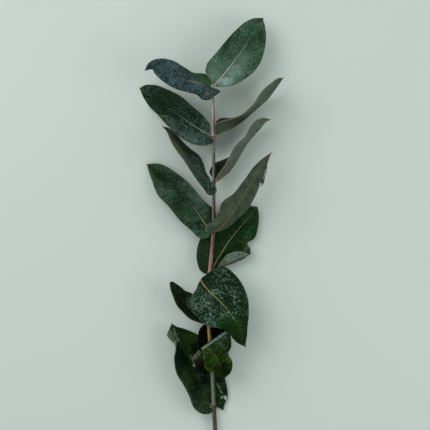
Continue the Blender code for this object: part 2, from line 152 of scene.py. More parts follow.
def keep_number(piece, name, values):
    """Store one number for each point of a piece, for its finish to read."""
    layer = piece.data.attributes.new(name, "FLOAT", "POINT")
    layer.data.foreach_set("value", np.asarray(values, dtype=float))


class Finish:
    """The node tree of one piece's finish, with a short word for each kind of step."""

    def __init__(self, name):
        self.material = bpy.data.materials.new(name)
        self.material.use_nodes = True
        self.tree = self.material.node_tree
        self.shader = self.tree.nodes["Principled BSDF"]
        self.place = self.add("TexCoord").outputs["Object"]

    def add(self, kind, operation=None):
        """Add a node."""
        node = self.tree.nodes.new("ShaderNode" + kind)
        if operation:
            node.operation = operation
        return node

    def put(self, value, socket):
        """Link a value to a socket, or set it there."""
        if isinstance(value, bpy.types.NodeSocket):
            self.tree.links.new(value, socket)
        else:
            socket.default_value = value

    def number(self, name):
        """A number that the piece keeps for each of its points."""
        node = self.add("Attribute")
        node.attribute_name = name
        return node.outputs["Fac"]

    def work(self, operation, first, second=0.0, kind="Math", output="Value"):
        """One step of arithmetic, on numbers or on places."""
        node = self.add(kind, operation)
        self.put(first, node.inputs[0])
        self.put(second, node.inputs[1])
        return node.outputs[output]

    plus = partialmethod(work, "ADD")
    minus = partialmethod(work, "SUBTRACT")
    times = partialmethod(work, "MULTIPLY")

    def swing(self, pattern, share):
        """How far a pattern is from its middle, times a share."""
        return self.times(self.minus(pattern, 0.5), share)

    def rise(self, value, low, high, start=0.0, end=1.0):
        """A smooth change from start to end while the value goes from low to high."""
        node = self.add("MapRange")
        node.interpolation_type = "SMOOTHSTEP"
        for number, given in enumerate((value, low, high, start, end)):
            self.put(given, node.inputs[number])
        return node.outputs["Result"]

    def grain(self, size, detail, seed=0.0, stretch=(1.0, 1.0, 1.0)):
        """An uneven pattern with spots of about that size in millimetres."""
        mapping = self.add("Mapping")
        mapping.inputs["Scale"].default_value = stretch
        mapping.inputs["Location"].default_value = (seed, seed * 0.7, seed * 0.3)
        self.put(self.place, mapping.inputs["Vector"])
        node = self.add("TexNoise")
        node.inputs["Scale"].default_value = 1.0 / (size * MM)
        node.inputs["Detail"].default_value = detail
        self.put(mapping.outputs["Vector"], node.inputs["Vector"])
        return node.outputs["Fac"]

    def blend(self, share, first, second):
        """A colour between two colours."""
        node = self.add("Mix")
        node.data_type = "RGBA"
        for number, given in ((0, share), (6, first), (7, second)):
            self.put(given, node.inputs[number])
        return node.outputs[2]

    def near(self, x, y, radius, flatten=1.0, soft=0.5, rough=0.5):
        """One near a spot seen from above, in millimetres, and nothing away from it."""
        stretch = (1.0, flatten, 0.0)
        flat = self.work("MULTIPLY", self.place, stretch, "VectorMath", "Vector")
        spot = tuple((np.array([x, y, 0.0]) + PLACE) * MM * np.array(stretch))
        distance = self.work("DISTANCE", flat, spot, "VectorMath")
        distance = self.plus(distance, self.swing(rough, radius * 2.6 * MM))
        return self.rise(distance, radius * (1.0 - soft) * MM, radius * (1.0 + soft) * MM, 1.0, 0.0)

    def streak(self, start, end, width, rough=0.5):
        """One on a straight line seen from above, in millimetres, and nothing away from it."""
        low = np.append((np.array(start) + PLACE[:2]) * MM, 0.0)
        reach = np.append((np.array(end) - np.array(start)) * MM, 0.0)
        length = np.linalg.norm(reach)
        shares = []
        for direction in (reach / length, np.array([-reach[1], reach[0], 0.0]) / length):
            share = self.work("DOT_PRODUCT", self.place, tuple(direction), "VectorMath")
            shares.append(self.minus(share, float(low @ direction)))
        uneven = self.swing(rough, width * 1.6 * MM)
        beside = self.plus(self.work("ABSOLUTE", shares[1]), uneven)
        across = self.rise(beside, 0.25 * width * MM, 0.75 * width * MM, 1.0, 0.0)
        past = self.plus(self.work("ABSOLUTE", self.minus(shares[0], length / 2.0)), uneven)
        return self.times(across, self.rise(past, length / 2.0, (length + width * MM) / 2.0, 1.0, 0.0))

    def coat(self, piece, color, roughness, specular, height, depth):
        """Give the piece its colour, gloss and fine relief, whose depth is in millimetres."""
        self.put(color, self.shader.inputs["Base Color"])
        self.put(roughness, self.shader.inputs["Roughness"])
        self.shader.inputs["Specular IOR Level"].default_value = specular
        node = self.add("Bump")
        node.inputs["Distance"].default_value = depth * MM
        self.put(height, node.inputs["Height"])
        self.put(node.outputs["Normal"], self.shader.inputs["Normal"])
        piece.data.materials.append(self.material)


stem, ring, side = add_ball(STEM_RINGS, STEM_SIDES)
step = np.clip((ring - END_RINGS) / (STEM_RINGS - 2 * END_RINGS), 0.0, 1.0)
low_end = np.clip(ring / END_RINGS, 0.0, 1.0)
top_end = np.clip((STEM_RINGS - ring) / END_RINGS, 0.0, 1.0)
y = STEM_LOW_Y + (STEM_TOP_Y - STEM_CAP + 0.1 - STEM_LOW_Y) * step
angle = side / STEM_SIDES * math.tau
unevenness = np.array([
    noise.noise(Vector((math.cos(turn) * 1.4, math.sin(turn) * 1.4, height / 9.0)))
    for turn, height in zip(angle, y)
])
size = stem_radius(y) * (1.0 + 0.04 * unevenness + 0.018 * np.cos(2.0 * angle + y / 40.0))
for knot in KNOTS:
    size = size - GROOVE_DEPTH * hill(y - knot + GROOVE_DROP, GROOVE_LENGTH)
scar_turn = np.angle(np.exp(1j * (angle - SCAR_ANGLE)))
scar = hill(y - SCAR_Y, SCAR_SIZE[0]) * hill(scar_turn, SCAR_SIZE[1])
scar_rim = hill(y - SCAR_Y, SCAR_RIM_SIZE[0]) * hill(scar_turn, SCAR_RIM_SIZE[1])
size = size + SCAR_DEPTH * (scar_rim - scar)
size = size * low_end ** 0.8 * np.sqrt(1.0 - (1.0 - top_end) ** 2)
points = stem_center(y)
points[:, 0] += np.cos(angle) * size
points[:, 1] += STEM_CAP * (1.0 - top_end) + CUT_BEVEL * (1.0 - low_end) ** 2
points[:, 2] += np.sin(angle) * size
finish_shape(stem, "stem_bark", points)
keep_number(stem, "along_stem", y)
keep_number(stem, "cut_face", np.where(ring < END_RINGS - 1, 1.0 - low_end, 0.0))
keep_number(stem, "scar", scar)
keep_number(stem, "to_right", np.cos(angle + 0.25))

bark = Finish("stem_bark")
along = bark.number("along_stem")


def stem_shade(shade_list):
    """The colour of one side of the stem, which changes along it."""
    ramp = bark.add("ValToRGB")
    length = STEM_TOP_Y - STEM_LOW_Y
    bark.put(bark.work("DIVIDE", bark.minus(along, STEM_LOW_Y), length), ramp.inputs["Fac"])
    marks = ramp.color_ramp.elements
    for height, *shade in shade_list:
        position = (height - STEM_LOW_Y) / length
        mark = marks[0] if position == 0.0 else marks[-1] if position == 1.0 else marks.new(position)
        mark.color = as_light(shade)
    return ramp.outputs["Color"]


streaks = bark.grain(0.9, 4.0, 3.0, (1.0, 0.12, 1.0))
clouds = bark.grain(5.0, 2.0, 5.0, (1.0, 0.4, 1.0))
flecks = bark.grain(0.5, 2.0, 7.0, (1.0, 0.5, 1.0))
# Painted light and shade: across the stem the colour goes from the lit left side to the shaded right side.
sides = bark.plus(bark.number("to_right"), bark.swing(streaks, 2.2))
sides = bark.plus(sides, bark.swing(clouds, 2.0))
color = bark.blend(bark.rise(sides, -0.55, 0.25), stem_shade(STEM_LIT_SIDE_SHADES), stem_shade(STEM_RED_AND_SHADED_SIDE_SHADES))
waxy = bark.rise(along, -176.0, -150.0, 0.3, 1.0)
bloom = bark.times(waxy, bark.rise(clouds, 0.45, 0.7, 0.0, 0.30))
color = bark.blend(bloom, color, as_light((170, 170, 158)))
bloom = bark.times(waxy, bark.rise(flecks, 0.60, 0.72, 0.0, 0.5))
color = bark.blend(bloom, color, as_light((190, 184, 170)))
rings = 0.0
for knot in KNOTS:
    gap = bark.work("ABSOLUTE", bark.minus(along, knot - GROOVE_DROP))
    rings = bark.work("MAXIMUM", rings, bark.rise(gap, 0.3, 1.3, 1.0, 0.0))
color = bark.blend(bark.times(rings, 0.75), color, as_light((76, 34, 22)))
color = bark.blend(bark.rise(bark.number("scar"), 0.2, 0.6), color, as_light((48, 28, 22)))
wood = bark.rise(bark.grain(0.4, 3.0), 0.3, 0.7)
wood = bark.blend(wood, as_light((196, 186, 140)), as_light((150, 146, 98)))
cut_face = bark.number("cut_face")
color = bark.blend(bark.rise(cut_face, 0.05, 0.15), color, wood)
color = bark.blend(bark.rise(cut_face, 0.72, 0.85), color, as_light((120, 92, 60)))
roughness = bark.rise(clouds, 0.35, 0.7, 0.46, 0.68)
bark.coat(stem, color, roughness, 0.2, bark.plus(streaks, bark.times(flecks, 0.4)), 0.12)
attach(stem, "root")
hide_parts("stem")

# Leaf 1, at the right of the topmost knot: the largest and flattest leaf, turned to the light.
# Leaves are thin and leathery, with a raised rib and a waxy bloom that rubs off. Each blade is
# rolled out between three lines, its rib and its two edges, and ends in a small curled point.
HALF_BLADE = 0.3
STEM_CLEARANCE = 0.32
MARGIN_ROUNDING = 0.45
MARGIN_THINNING = 1.6
FOLD_ROUNDING = 0.05
BLADE_ROWS = 120
BLADE_COLUMNS = 64
BASE_CROWDING = 1.3
BASE_REACH = 0.14
RIB_WIDTHS = (0.70, 0.22)
RIB_UPPER = (0.22, 0.04)
RIB_UNDER = (0.55, 0.10)
VEIN_SPACING = 5.2
VEIN_SLANT = 0.95
VEIN_CURVE = 0.012
QUILTING = 0.055
STALK_WIDTHS = (0.95, 0.22)
STALK_PLACES = (0.0, 1.5, 3.0, 5.0, 7.0)
STALK_TOP_GAP = 1.5
STALK_START = 0.45
POINT_START = 2.6
ROUND_STEPS = 28
ROUND_SIDES = 16
SHEEN = 0.11
# What a leaf is like where its own section says nothing else.
LEAF = dict(
    lowest=HALF_BLADE, ripple=(0.35, 11.0), frosted=[], spots=[], streaks=[], rims=[], point=None,
    base=None, base_share=0.4, base_reach=0.22, cloud_size=16.0, mottle_size=1.5, mottle=2.6, fleck=1.2,
    soft=0.5, bloom_share=0.8, sheen=SHEEN, relief=0.10, vein=(104, 130, 100), vein_share=0.13,
    net_size=1.9, net_width=0.09, net_share=0.06, under=(68, 82, 68), under_fresh=(80, 94, 76),
    under_bloom=(112, 124, 112), under_vein=(120, 128, 100), under_share=0.45, rib_tip=(128, 142, 104),
    rib_turn=0.45, rib_width=0.85, rib_end=0.35, rib_share=0.9, margin=(140, 136, 88),
    margin_red=(128, 104, 70), margin_share=0.75, tip=(96, 34, 24), tip_start=0.965,
)


def line_through(points, steps):
    """Points on a smooth curve through the given points, one for each step from 0 to 1."""
    knots = np.array(points, dtype=float)
    spans = np.linalg.norm(np.diff(knots, axis=0), axis=1)
    marks = np.concatenate([[0.0], np.cumsum(spans)]) / spans.sum()
    slopes = np.gradient(knots, marks, axis=0)
    index = np.clip(np.searchsorted(marks, steps, side="right") - 1, 0, len(marks) - 2)
    width = marks[index + 1] - marks[index]
    part = (steps - marks[index]) / width
    rise = part * part * (3.0 - 2.0 * part)
    start_pull = part * (1.0 - part) ** 2 * width
    end_pull = part * part * (part - 1.0) * width
    line = knots[index] * (1.0 - rise)[:, None] + knots[index + 1] * rise[:, None]
    return line + slopes[index] * start_pull[:, None] + slopes[index + 1] * end_pull[:, None]


def reach_along(line):
    """How far each point is from the start of its line, or of its row, measured along it."""
    reach = np.cumsum(np.linalg.norm(np.diff(line, axis=-2), axis=-1), axis=-1)
    return np.concatenate([0.0 * reach[..., :1], reach], axis=-1)


def unit(vectors):
    """The same directions, each of length one."""
    length = np.linalg.norm(vectors, axis=-1, keepdims=True)
    return vectors / np.maximum(length, 1e-9)


def taper(sizes, steps):
    """A size that changes evenly from the first to the second."""
    return sizes[0] + (sizes[1] - sizes[0]) * steps


def clear_of_stem(points):
    """Move blade points out of the stem, to where the blade lies close around it."""
    y = points[..., 1]
    away = points - stem_center(y)
    away[..., 1] = 0.0
    distance = np.linalg.norm(away, axis=-1)
    needed = stem_radius(y) + STEM_CLEARANCE + HALF_BLADE
    beside = (y > STEM_LOW_Y) & (y < STEM_TOP_Y) & (distance < needed)
    push = np.where(beside, needed - distance, 0.0)
    return points + unit(away) * push[..., None]


def blade_lines(leaf, steps):
    """The rib and the two edges of a leaf, and the middle line of a right half that folds over."""
    lines = {"rib": line_through(leaf["rib"], steps)}
    for name in ("left", "right", "right_middle"):
        if name in leaf:
            lines[name] = line_through([leaf["rib"][0]] + leaf[name] + [leaf["rib"][-1]], steps)
    return lines


def blade_middle(leaf, lines, steps, shares):
    """The middle of the blade: for each step, a row of points from the left to the right edge."""
    rib = lines["rib"][:, None, :]
    heading = np.gradient(lines["rib"], axis=0)
    to_left = lines["left"] - lines["rib"]
    to_right = lines["right"] - lines["rib"]
    rounded = np.sqrt(shares ** 2 + FOLD_ROUNDING ** 2) - FOLD_ROUNDING
    rounded = (rounded / rounded.max())[None, :, None]
    middle = rib + (to_right - to_left)[:, None] / 2.0 * shares[None, :, None]
    middle = middle + (to_right + to_left)[:, None] / 2.0 * rounded
    body = np.sin(math.pi * steps)
    height, count = leaf["wave"]
    for name, sign, up, arch in (
        ("left", -1.0, unit(np.cross(heading, to_left)), leaf["arch"][0]),
        ("right", 1.0, unit(np.cross(to_right, heading)), leaf["arch"][1]),
    ):
        half = np.clip(shares * sign, 0.0, 1.0)
        if name + "_middle" in lines:
            near, center, far = [share[None, :, None] for share in (
                (1.0 - half) * (1.0 - 2.0 * half), 4.0 * half * (1.0 - half), half * (2.0 * half - 1.0)
            )]
            folded = rib * near + lines[name + "_middle"][:, None] * center + lines[name][:, None] * far
            middle = np.where((shares * sign > 0.0)[None, :, None], folded, middle)
            continue
        swell = arch * 4.0 * half * (1.0 - half)
        wave = height * np.sin(math.tau * count * steps + sign)
        grown = np.sqrt(np.maximum(body, 0.0)) * np.clip(steps / BASE_REACH, 0.0, 1.0)
        lift = grown[:, None] * swell[None, :] + (body * wave)[:, None] * (half * half)[None, :]
        middle = middle + up[:, None] * lift[:, :, None]
    return middle


def facing_up(middle):
    """The direction of the leaf's upper side at each point of its middle."""
    up = np.cross(np.gradient(middle, axis=1), np.gradient(middle, axis=0))
    up[0] = up[1]
    up[-1] = up[-2]
    return unit(up)


def grow_round(name, part, path, widths, shade):
    """A round tapered piece through the given places, with the skin of a leaf stalk."""
    piece, ring, side = add_ball(ROUND_STEPS, ROUND_SIDES)
    steps = np.arange(ROUND_STEPS + 1) / ROUND_STEPS
    center = line_through(path, steps)
    heading = unit(np.gradient(center, axis=0))
    outward = unit(np.cross(heading, [0.0, 0.0, 1.0]))
    upward = np.cross(outward, heading)
    ends = np.sqrt(np.clip(1.0 - np.abs(2.0 * steps - 1.0) ** 8, 0.0, 1.0))
    radius = (taper(widths, np.sqrt(steps)) * ends)[ring, None]
    turn = (side / ROUND_SIDES * math.tau)[:, None]
    around = np.cos(turn) * outward[ring] + np.sin(turn) * upward[ring]
    finish_shape(piece, name + part, center[ring] + radius * around)
    skin = Finish(name + part)
    grains = skin.grain(0.8, 3.0)
    color = as_light([value * 0.72 for value in shade])
    color = skin.blend(skin.rise(grains, 0.35, 0.65), as_light(shade), color)
    skin.coat(piece, color, skin.rise(grains, 0.3, 0.7, 0.42, 0.6), SHEEN, grains, 0.08)
    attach(piece, "root")
    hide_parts(name)


def grow_stalk(name, rib, shade):
    """The thick base of the rib, from inside the stem onto the blade."""
    heart = stem_center(min(rib[0, 1], STEM_TOP_Y - STALK_TOP_GAP))
    inside = heart + (rib[0] - heart) * STALK_START
    places = np.searchsorted(reach_along(rib), STALK_PLACES)
    grow_round(name, "_stalk", [inside, *rib[places]], STALK_WIDTHS, shade)


def grow_point(name, rib, hook, shade, widths=(0.62, 0.22)):
    """The hard coloured point at a leaf's tip: it starts in the blade and hooks out past it."""
    behind = rib[::-1][np.searchsorted(reach_along(rib[::-1])[1:], POINT_START)]
    grow_round(name, "_point", [behind, rib[-1], rib[-1] + np.array(hook)], widths, shade)


def leaf_finish(name, leaf, blade):
    """A leaf's skin: green under a rubbed waxy bloom, pale rib and veins, and a coloured margin."""
    skin = Finish(name)

    def tone(key):
        """One of the leaf's own colours."""
        return as_light(leaf[key])

    upper = skin.rise(skin.number("upper_face"), -0.25, 0.25)
    along = skin.number("along_rib")
    from_rib = skin.number("from_rib")
    from_edge = skin.number("from_edge")
    toward_tip = skin.number("toward_tip")
    off_rib = skin.work("ABSOLUTE", from_rib)
    seed = leaf["seed"]
    clouds = skin.grain(leaf["cloud_size"], 2.0, seed)
    patches = skin.grain(5.5, 3.0, seed + 2.0)
    mottle = skin.grain(leaf["mottle_size"], 3.0, seed + 4.0)
    flecks = skin.grain(0.7, 2.0, seed + 6.0)

    # The green, fresher in clouds and at the base, and the bloom over it, rubbed off in patches.
    green = skin.blend(skin.rise(clouds, 0.35, 0.65), tone("deep"), tone("fresh"))
    at_base = skin.rise(toward_tip, 0.02, leaf["base_reach"], 1.0, 0.0)
    at_base = skin.times(at_base, leaf["base_share"])
    green = skin.blend(at_base, green, tone("base" if leaf["base"] else "fresh"))
    wax = leaf["frost"]
    for pattern, share in ((clouds, 0.9), (patches, 1.1), (mottle, leaf["mottle"]), (flecks, leaf["fleck"])):
        wax = skin.plus(skin.swing(pattern, share), wax)
    # Given places get more or less bloom; on leaf 1 the extra bloom near the base also serves as a painted
    # soft highlight.
    for x, y, radius, share in leaf["frosted"]:
        wax = skin.plus(wax, skin.times(skin.near(x, y, radius, soft=0.8), share))
    bloom = skin.rise(wax, 0.55 - leaf["soft"], 0.55 + leaf["soft"])
    color = skin.blend(skin.times(bloom, leaf["bloom_share"]), green, tone("bloom"))

    # Side veins that slant off the rib, a ring vein along the edge, and a fine net between them.
    beat = skin.minus(along, skin.times(off_rib, VEIN_SLANT))
    beat = skin.plus(beat, skin.times(skin.times(off_rib, off_rib), VEIN_CURVE))
    beat = skin.plus(beat, skin.times(skin.work("GREATER_THAN", from_rib, 0.0), VEIN_SPACING / 2.0))
    beat = skin.plus(beat, skin.swing(patches, 1.2))
    beat = skin.work("FRACT", skin.work("DIVIDE", skin.plus(beat, 200.0), VEIN_SPACING))
    veins = skin.rise(skin.work("ABSOLUTE", skin.minus(beat, 0.5)), 0.43, 0.5)
    ring = skin.work("ABSOLUTE", skin.minus(from_edge, 1.7))
    veins = skin.work("MAXIMUM", veins, skin.rise(ring, 0.05, 0.4, 1.0, 0.0))
    veins = skin.times(veins, skin.rise(patches, 0.35, 0.65, 0.2, 1.0))
    net = skin.add("TexVoronoi")
    net.feature = "DISTANCE_TO_EDGE"
    net.inputs["Scale"].default_value = 1.0 / (leaf["net_size"] * MM)
    skin.put(skin.place, net.inputs["Vector"])
    net_lines = skin.rise(net.outputs["Distance"], 0.0, leaf["net_width"], 1.0, 0.0)
    vein_share = skin.plus(skin.times(veins, leaf["vein_share"]), skin.times(net_lines, leaf["net_share"]))
    color = skin.blend(vein_share, color, tone("vein"))

    # The under side: paler, grey-green and finely dusted.
    under = skin.blend(skin.rise(patches, 0.35, 0.65), tone("under"), tone("under_fresh"))
    dust = skin.rise(skin.plus(flecks, mottle), 0.85, 1.25, 0.0, leaf["under_share"])
    under = skin.blend(dust, under, tone("under_bloom"))
    under = skin.blend(skin.times(vein_share, 1.3), under, tone("under_vein"))
    color = skin.blend(upper, under, color)

    # Wounds, scratches and other marks of this leaf alone, and on some leaves painted highlights and painted
    # shade.
    for x, y, radius, flatten, share, *shade in leaf["spots"]:
        rough = flecks if radius < 2.0 else patches
        spot = skin.times(skin.near(x, y, radius, flatten, 0.45, rough), share)
        color = skin.blend(skin.times(spot, skin.rise(mottle, 0.3, 0.55, 0.4, 1.0)), color, as_light(shade))
    for start, end, width, share, *shade in leaf["streaks"]:
        rough = flecks if width < 3.0 else patches
        mark = skin.times(skin.streak(start, end, width, rough), share)
        color = skin.blend(skin.times(mark, skin.rise(mottle, 0.3, 0.5, 0.6, 1.0)), color, as_light(shade))

    # The rib, the margin and the tip.
    rib_color = skin.blend(skin.rise(toward_tip, 0.0, leaf["rib_turn"]), tone("rib_base"), tone("rib_tip"))
    rib_width = skin.rise(toward_tip, 0.0, 1.0, leaf["rib_width"], 0.28)
    rib = skin.rise(skin.work("DIVIDE", off_rib, rib_width), 0.45, 1.15, 1.0, 0.0)
    rib = skin.times(rib, skin.rise(mottle, 0.2, 0.5, 0.65, 1.0))
    rib = skin.times(rib, skin.rise(toward_tip, 0.45, 0.95, 1.0, leaf["rib_end"]))
    color = skin.blend(skin.times(rib, leaf["rib_share"]), color, rib_color)
    margin = skin.rise(from_edge, 0.05, 0.55, 1.0, 0.0)
    margin = skin.times(margin, skin.rise(skin.plus(patches, flecks), 0.8, 1.15, 0.45, 1.0))
    margin_color = skin.blend(skin.rise(patches, 0.4, 0.6), tone("margin"), tone("margin_red"))
    color = skin.blend(skin.times(margin, leaf["margin_share"]), color, margin_color)
    edge_band = skin.rise(from_edge, 0.3, 1.3, 1.0, 0.0)
    for x, y, radius, share, *shade in leaf["rims"]:
        rim = skin.times(skin.near(x, y, radius, rough=patches), share)
        color = skin.blend(skin.times(rim, edge_band), color, as_light(shade))
    tip = skin.rise(toward_tip, leaf["tip_start"], 1.0)
    color = skin.blend(skin.times(tip, 0.9), color, tone("tip"))

    roughness = skin.rise(skin.times(bloom, upper), 0.1, 0.9, 0.40, 0.62)
    height = skin.plus(skin.times(flecks, 0.5), skin.times(mottle, 0.8))
    height = skin.minus(height, skin.times(vein_share, 2.4))
    skin.coat(blade, color, roughness, leaf["sheen"], height, leaf["relief"])


def grow_leaf(name, **traits):
    """Roll a ball out to a blade on the lines of a leaf, with its rib, veins, margin and stalk."""
    leaf = dict(LEAF, **traits)
    sides = 2 * BLADE_COLUMNS
    blade, ring, side = add_ball(BLADE_ROWS, sides)
    steps = (np.arange(BLADE_ROWS + 1) / BLADE_ROWS) ** BASE_CROWDING
    spread = 2.0 * np.arange(BLADE_COLUMNS + 1) / BLADE_COLUMNS - 1.0
    shares = np.sin(math.pi / 2.0 * spread * (0.35 + 0.65 * np.abs(spread)))
    middle = blade_middle(leaf, blade_lines(leaf, steps), steps, shares)
    ripple, ripple_size = leaf["ripple"]
    bumps = np.array([[noise.noise(Vector(point / ripple_size)) for point in row] for row in middle])
    bumps = bumps * ripple * np.sin(math.pi * steps)[:, None]
    middle = clear_of_stem(middle + facing_up(middle) * bumps[:, :, None])
    middle[:, :, 2] = np.maximum(middle[:, :, 2], leaf["lowest"])
    rib = middle[:, BLADE_COLUMNS // 2]
    up = facing_up(middle)

    across = reach_along(middle)
    from_rib = across - across[:, BLADE_COLUMNS // 2][:, None]
    from_edge = np.minimum(across, across[:, -1:] - across)
    along_rib = reach_along(rib)[:, None]
    inward = np.clip(from_edge / MARGIN_ROUNDING, 0.0, 1.0)
    half_thick = HALF_BLADE * np.sqrt(1.0 - (1.0 - inward) ** 2)
    thin_out = np.clip(from_edge / MARGIN_THINNING, 0.0, 1.0)
    rows = steps[:, None]
    on_rib = hill(from_rib, taper(RIB_WIDTHS, rows))
    beat = along_rib - VEIN_SLANT * np.abs(from_rib) + VEIN_CURVE * from_rib ** 2
    beat = beat + np.where(shares[None, :] < 0.0, 0.0, VEIN_SPACING / 2.0)
    quilting = QUILTING * np.cos(math.tau * beat / VEIN_SPACING)
    quilting = quilting * np.clip(np.abs(from_rib) / 2.0, 0.0, 1.0)
    upper = half_thick + thin_out * (taper(RIB_UPPER, rows) * on_rib - quilting)
    under = half_thick + thin_out * (taper(RIB_UNDER, rows) * on_rib + quilting)

    column = np.where(side <= BLADE_COLUMNS, side, sides - side)
    on_upper = side <= BLADE_COLUMNS
    thick = np.where(on_upper, upper[ring, column], -under[ring, column])
    finish_shape(blade, name + "_blade", middle[ring, column] + up[ring, column] * thick[:, None])
    at_edge = (column == 0) | (column == BLADE_COLUMNS)
    keep_number(blade, "upper_face", np.where(at_edge, 0.0, np.where(on_upper, 1.0, -1.0)))
    keep_number(blade, "along_rib", along_rib[ring, 0])
    keep_number(blade, "from_rib", from_rib[ring, column])
    keep_number(blade, "from_edge", from_edge[ring, column])
    keep_number(blade, "toward_tip", steps[ring])
    leaf_finish(name, leaf, blade)
    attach(blade, "root")
    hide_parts(name)
    grow_stalk(name, rib, leaf["stalk"])
    if leaf["point"]:
        grow_point(name, rib, *leaf["point"])


grow_leaf(
    "leaf_1_right",
    rib=[(-0.2, 108, 29.9), (8.4, 118.2, 29.5), (17.6, 130, 26), (26.8, 143.6, 22), (34, 156.4, 18.5),
        (41.6, 167.4, 16)],
    left=[(-3.4, 114.2, 32.5), (-6.8, 120.2, 33), (-5.5, 126.8, 33.5), (0.6, 134.4, 33), (9.8, 146, 30.5),
        (18.8, 156, 26.5), (27.4, 163.7, 22), (34.8, 167, 18.5)],
    right=[(6.5, 107.6, 32), (17.4, 109.3, 31.5), (27.6, 115.2, 30), (35, 121.6, 28), (40.5, 130.8, 25.5),
        (43.5, 141, 22.5), (44.5, 152, 20), (43.6, 161, 17.5)],
    arch=(1.5, 1.5), wave=(0.4, 3), stalk=(176, 124, 92), point=((0.6, 0.3, -0.5), (120, 40, 30)), seed=1,
    sheen=0.09, deep=(18, 44, 22), fresh=(29, 58, 30), bloom=(96, 126, 110), frost=0.33, mottle=2.2,
    mottle_size=1.1, fleck=1.8, soft=0.6, rib_base=(232, 184, 184), rib_tip=(146, 154, 132), rib_width=0.7,
    # The extra bloom and whitish spots near the base are partly wax bloom and partly a painted soft
    # highlight.
    rib_end=0.8, frosted=[(15, 116, 14, 0.36), (2, 112, 6, 0.3), (38, 152, 8, -0.1), (34, 131, 8, -0.12)],
    spots=[(10, 112.5, 5.5, 1.6, 0.75, 140, 164, 162), (17, 121, 6, 1, 0.55, 124, 150, 144),
        (0, 120, 5, 0.8, 0.35, 110, 138, 126), (26, 130, 7, 1, 0.3, 104, 132, 120)],
)
grow_round("leaf_1_right", "_curled_tip",
           [(36.6, 165.4, 18.4), (39.6, 164.6, 17.4), (41.6, 165.6, 16.8), (42.2, 167, 16.4)],
           (1.25, 0.5), (62, 62, 44))

# Leaf 2, at the left of the topmost knot: a narrower leaf with the heaviest blue bloom, greener
# at its upper base lobe. A small brown wound lies near its base, and its tip is a red point.
grow_leaf(
    "leaf_2_left",
    rib=[(-2.3, 106.9, 30.8), (-11.4, 110.4, 33.5), (-24.8, 113.3, 37.5), (-34, 116.2, 39.5),
        (-43.3, 119.8, 40.5), (-51.2, 122.2, 40), (-57.2, 121.4, 38)],
    left=[(1, 106.2, 33.2), (5.8, 103.7, 33.8), (1.5, 100, 34), (-4.5, 96.4, 34.5), (-8.9, 96.8, 35),
        (-13.3, 100.2, 36.5), (-21.7, 102.3, 39.5), (-33.9, 106.4, 43), (-45.1, 113.7, 43.5),
        (-49.6, 119, 42), (-50.6, 121.4, 41.4), (-52, 122, 40.8), (-55, 121.4, 39.2)],
    right=[(-1.6, 110.8, 29.2), (-1.9, 113.6, 28.8), (-4, 117.4, 29.4), (-7.3, 118.9, 30.5),
        (-11.9, 119.3, 32.5), (-15.9, 119.3, 35), (-24.8, 124, 40), (-33.9, 129, 43), (-43.8, 130.8, 44),
        (-50.2, 129.5, 43), (-54.9, 126.5, 40.5)],
    arch=(1.2, 1.2), wave=(0.5, 3), stalk=(150, 128, 110),
    point=((-0.9, 0.3, -0.6), (150, 44, 34), (0.75, 0.3)), seed=12, sheen=0.09, deep=(16, 34, 28),
    fresh=(22, 44, 34), bloom=(84, 106, 114), frost=0.4, mottle=3, mottle_size=1.2, base=(50, 80, 26),
    base_share=0.7, base_reach=0.14, rib_base=(170, 138, 130), rib_tip=(138, 118, 120), rib_turn=0.7,
    rib_width=0.55, vein=(92, 110, 106), bloom_share=0.75, rib_end=0.8, frosted=[(-14, 111, 6, 0.25)],
    spots=[(-10, 117, 6.5, 1, 0.8, 38, 66, 18), (-4, 112.5, 3.5, 1, 0.7, 60, 92, 26),
        (-5.1, 102.4, 1.5, 1.2, 0.8, 134, 98, 80)],
)

# Leaf 3, at the left of the second knot: broad, dark and green, its tip resting on the floor.
# A short bright green scratch crosses its lower half near the edge.
grow_leaf(
    "leaf_3_left",
    rib=[(-2, 66.6, 26.5), (-10.1, 71.5, 25), (-19.4, 77.4, 21), (-29.5, 84.8, 16), (-40, 92, 10),
        (-49, 98.2, 4), (-54, 102, -1), (-63.4, 108.9, -1.5)],
    left=[(0.2, 61.5, 29.2), (-4.7, 58.6, 29.5), (-11, 58.3, 29), (-20.3, 60.9, 27.5), (-29.5, 66.6, 24.5),
        (-38.7, 75.3, 18.5), (-48, 86, 10), (-54.5, 92.6, 2), (-60.5, 101.5, -1.5)],
    right=[(-2.4, 71, 27.5), (-3, 76.5, 28.5), (-6.4, 81.2, 28.5), (-15.7, 90.4, 27), (-25.1, 98.6, 23.5),
        (-34.1, 104.3, 18.5), (-44, 109.2, 10.5), (-52, 111.6, 2), (-59, 111.4, -1.5)],
    arch=(1.5, 1.5), wave=(0.4, 3), stalk=(170, 150, 104), point=((-0.7, 0.6, 0), (120, 62, 40), (0.4, 0.2)),
    seed=23, sheen=0.08, deep=(5, 26, 9), fresh=(12, 36, 12), bloom=(84, 106, 104), frost=0.08, mottle=2.4,
    mottle_size=1.2, fleck=2.2, rib_base=(192, 186, 168), rib_tip=(112, 130, 92), rib_width=0.66,
    vein=(70, 96, 70), rib_share=1, rib_end=0.3, rib_turn=0.35,
    frosted=[(-12, 66, 13, 0.34), (-30, 76, 15, 0.24), (-41, 99, 12, -0.18)],
    streaks=[((-44, 84.2), (-37.8, 83.7), 1.1, 0.9, 50, 106, 8)],
)

